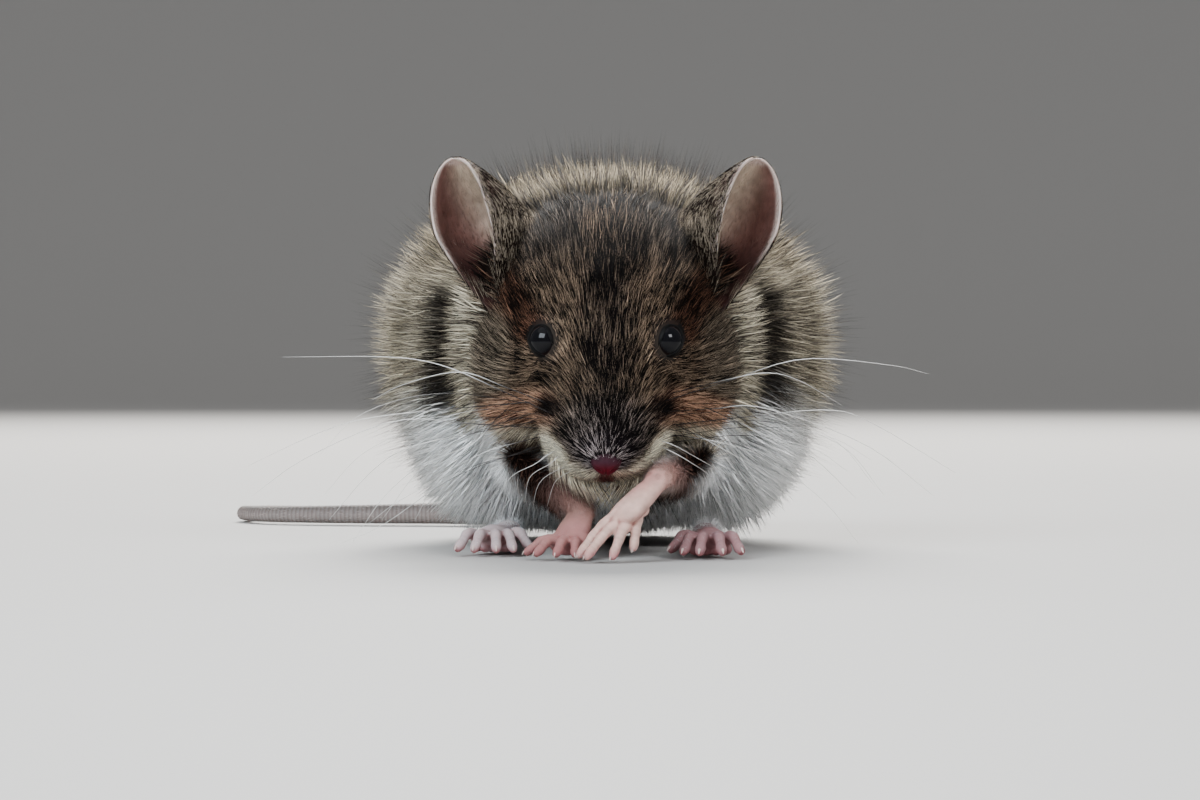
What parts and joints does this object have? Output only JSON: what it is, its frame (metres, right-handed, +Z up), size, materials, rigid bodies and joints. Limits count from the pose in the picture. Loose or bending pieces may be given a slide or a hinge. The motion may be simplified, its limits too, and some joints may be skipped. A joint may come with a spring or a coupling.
{
  "type": "house mouse",
  "caption": "Life-size still model of a crouching mouse, with a fluffed brown coat, pale underside, cupped ears, crossed forepaws and a tail laid round behind.",
  "frame": {"origin": "centre of the bounding box, on the floor under the paws and tail", "axes": "+Z up, the mouse faces -Y, and its own left side is at +X"},
  "size_m": [0.0666, 0.0876, 0.0341],
  "materials": {
    "coat": "agouti brown fur with black and tan hairs, orange-brown on the cheeks, white on the chin, chest, belly and legs",
    "skin": "pale pink skin with sparse short white hairs, on the paws, and darker on the ringed tail",
    "ear": "thin pinkish-brown skin with fine pale down and a pale rim",
    "eye": "wet gloss black",
    "nose": "moist dark pink skin",
    "claw": "translucent horn",
    "whisker": "white bristles, the uppermost ones black at the root"
  },
  "bodies": {
    "root": {"head": "coat", "nose": "nose", "neck": "coat", "trunk": "coat", "eye_left": "eye", "eye_right": "eye", "ear_left": "ear", "ear_right": "ear", "hind_leg_left": "coat", "hind_leg_right": "coat", "hind_foot_left": "skin", "hind_foot_right": "skin", "fore_leg_left": "coat", "fore_leg_right": "coat", "forepaw_left": "skin", "forepaw_right": "skin", "tail_base": "skin", "tail_middle": "skin", "tail_tip": "skin", "whisker_left_1": "whisker", "whisker_left_2": "whisker", "whisker_left_3": "whisker", "whisker_right_1": "whisker", "whisker_right_2": "whisker", "whisker_right_3": "whisker"}
  },
  "joints": []
}
